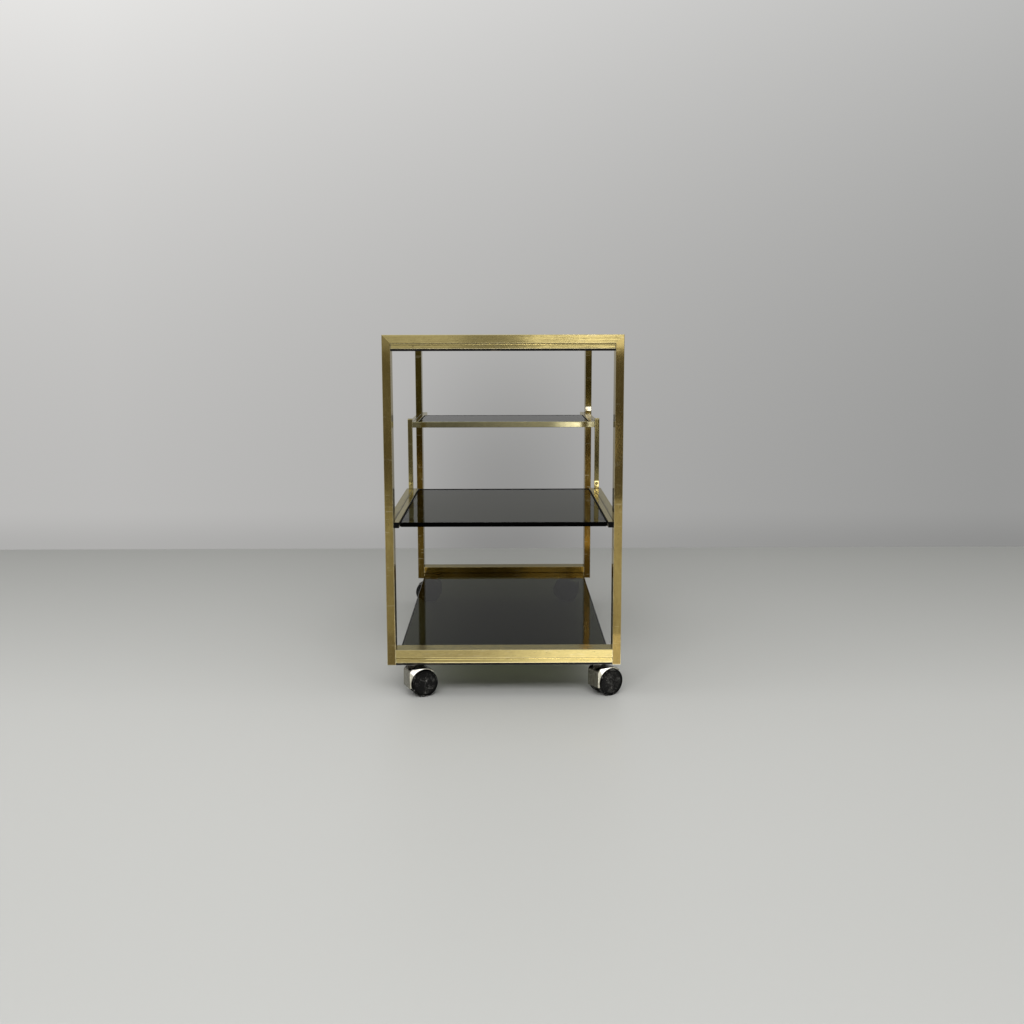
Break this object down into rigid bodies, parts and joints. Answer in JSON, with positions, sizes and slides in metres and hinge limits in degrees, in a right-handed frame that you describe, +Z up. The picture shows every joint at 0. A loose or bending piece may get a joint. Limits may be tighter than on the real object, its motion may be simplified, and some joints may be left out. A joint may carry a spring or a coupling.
{
  "type": "bar cart",
  "caption": "Brass-framed bar cart of rectangular tube with smoked glass shelves on stepped side rails, rolling on hooded twin-wheel swivel casters.",
  "frame": {"origin": "on the floor under the middle of the cart", "axes": "+Z up, +Y from the low shelf's open end (front) to the high shelf's end (back), +X to the right as seen from the front"},
  "size_m": [0.4328, 0.7926, 0.65],
  "materials": {
    "brass": "satin, antiqued and lacquered",
    "black_steel": "satin black paint",
    "smoked_glass": "polished, smoked grey",
    "black_rubber": "matt",
    "black_plastic": "satin",
    "steel": "turned",
    "hood_chrome": "plated, dulled by use",
    "wheel_black": "worn satin"
  },
  "bodies": {
    "cart": {"back_bottom_bar": "brass", "back_bottom_ledge": "black_steel", "back_bottom_rail": "brass", "back_left_post": "brass", "back_left_stem": "steel", "back_right_post": "brass", "back_right_stem": "steel", "back_top_bar": "brass", "back_top_ledge": "black_steel", "back_top_rail": "brass", "bottom_glass": "smoked_glass", "caster_bushes": "steel", "cross_rail": "brass", "front_bottom_bar": "brass", "front_bottom_ledge": "black_steel", "front_bottom_rail": "brass", "front_left_post": "brass", "front_left_stem": "steel", "front_right_post": "brass", "front_right_stem": "steel", "front_top_bar": "brass", "front_top_ledge": "black_steel", "front_top_rail": "brass", "grip_rings": "steel", "ledge_strips": "black_rubber", "left_lower_rail": "brass", "left_riser": "brass", "left_upper_rail": "brass", "lower_rail_plugs": "black_plastic", "lower_shelf_rails": "brass", "middle_glass": "smoked_glass", "post_plugs": "black_plastic", "right_lower_rail": "brass", "right_riser": "brass", "right_upper_rail": "brass", "riser_caps": "brass", "riser_foot_blocks": "steel", "riser_screws": "brass", "shelf_pads": "black_rubber", "shelf_tabs": "brass", "top_glass": "smoked_glass", "upper_glass": "smoked_glass", "upper_rail_plugs": "black_plastic", "upper_shelf_rails": "brass"},
    "front_left_caster": {"front_left_hood": "hood_chrome", "front_left_axle": "steel"},
    "front_left_outer_roller": {"front_left_outer_wheel": "wheel_black"},
    "front_left_inner_roller": {"front_left_inner_wheel": "wheel_black"},
    "front_right_caster": {"front_right_hood": "hood_chrome", "front_right_axle": "steel"},
    "front_right_outer_roller": {"front_right_outer_wheel": "wheel_black"},
    "front_right_inner_roller": {"front_right_inner_wheel": "wheel_black"},
    "back_left_caster": {"back_left_hood": "hood_chrome", "back_left_axle": "steel"},
    "back_left_outer_roller": {"back_left_outer_wheel": "wheel_black"},
    "back_left_inner_roller": {"back_left_inner_wheel": "wheel_black"},
    "back_right_caster": {"back_right_hood": "hood_chrome", "back_right_axle": "steel"},
    "back_right_outer_roller": {"back_right_outer_wheel": "wheel_black"},
    "back_right_inner_roller": {"back_right_inner_wheel": "wheel_black"}
  },
  "joints": [
    {"name": "front_left_swivel", "type": "hinge", "parent": "cart", "child": "front_left_caster", "pos_m": [-0.169, -0.3775, 0.045], "axis": [0, 0, 1], "continuous": true},
    {"name": "front_right_swivel", "type": "hinge", "parent": "cart", "child": "front_right_caster", "pos_m": [0.169, -0.3775, 0.045], "axis": [0, 0, 1], "continuous": true},
    {"name": "back_left_swivel", "type": "hinge", "parent": "cart", "child": "back_left_caster", "pos_m": [-0.169, 0.3775, 0.045], "axis": [0, 0, 1], "continuous": true},
    {"name": "back_right_swivel", "type": "hinge", "parent": "cart", "child": "back_right_caster", "pos_m": [0.169, 0.3775, 0.045], "axis": [0, 0, 1], "continuous": true},
    {"name": "front_left_outer_roll", "type": "hinge", "parent": "front_left_caster", "child": "front_left_outer_roller", "pos_m": [-0.15073, -0.36936, 0.025], "axis": [0.4067, -0.9135, 0], "continuous": true},
    {"name": "front_left_inner_roll", "type": "hinge", "parent": "front_left_caster", "child": "front_left_inner_roller", "pos_m": [-0.15073, -0.36936, 0.025], "axis": [0.4067, -0.9135, 0], "continuous": true},
    {"name": "front_right_outer_roll", "type": "hinge", "parent": "front_right_caster", "child": "front_right_outer_roller", "pos_m": [0.18596, -0.3669, 0.025], "axis": [0.5299, -0.848, 0], "continuous": true},
    {"name": "front_right_inner_roll", "type": "hinge", "parent": "front_right_caster", "child": "front_right_inner_roller", "pos_m": [0.18596, -0.3669, 0.025], "axis": [0.5299, -0.848, 0], "continuous": true},
    {"name": "back_left_outer_roll", "type": "hinge", "parent": "back_left_caster", "child": "back_left_outer_roller", "pos_m": [-0.18596, 0.3669, 0.025], "axis": [-0.5299, 0.848, 0], "continuous": true},
    {"name": "back_left_inner_roll", "type": "hinge", "parent": "back_left_caster", "child": "back_left_inner_roller", "pos_m": [-0.18596, 0.3669, 0.025], "axis": [-0.5299, 0.848, 0], "continuous": true},
    {"name": "back_right_outer_roll", "type": "hinge", "parent": "back_right_caster", "child": "back_right_outer_roller", "pos_m": [0.15073, 0.36936, 0.025], "axis": [-0.4067, 0.9135, 0], "continuous": true},
    {"name": "back_right_inner_roll", "type": "hinge", "parent": "back_right_caster", "child": "back_right_inner_roller", "pos_m": [0.15073, 0.36936, 0.025], "axis": [-0.4067, 0.9135, 0], "continuous": true}
  ]
}
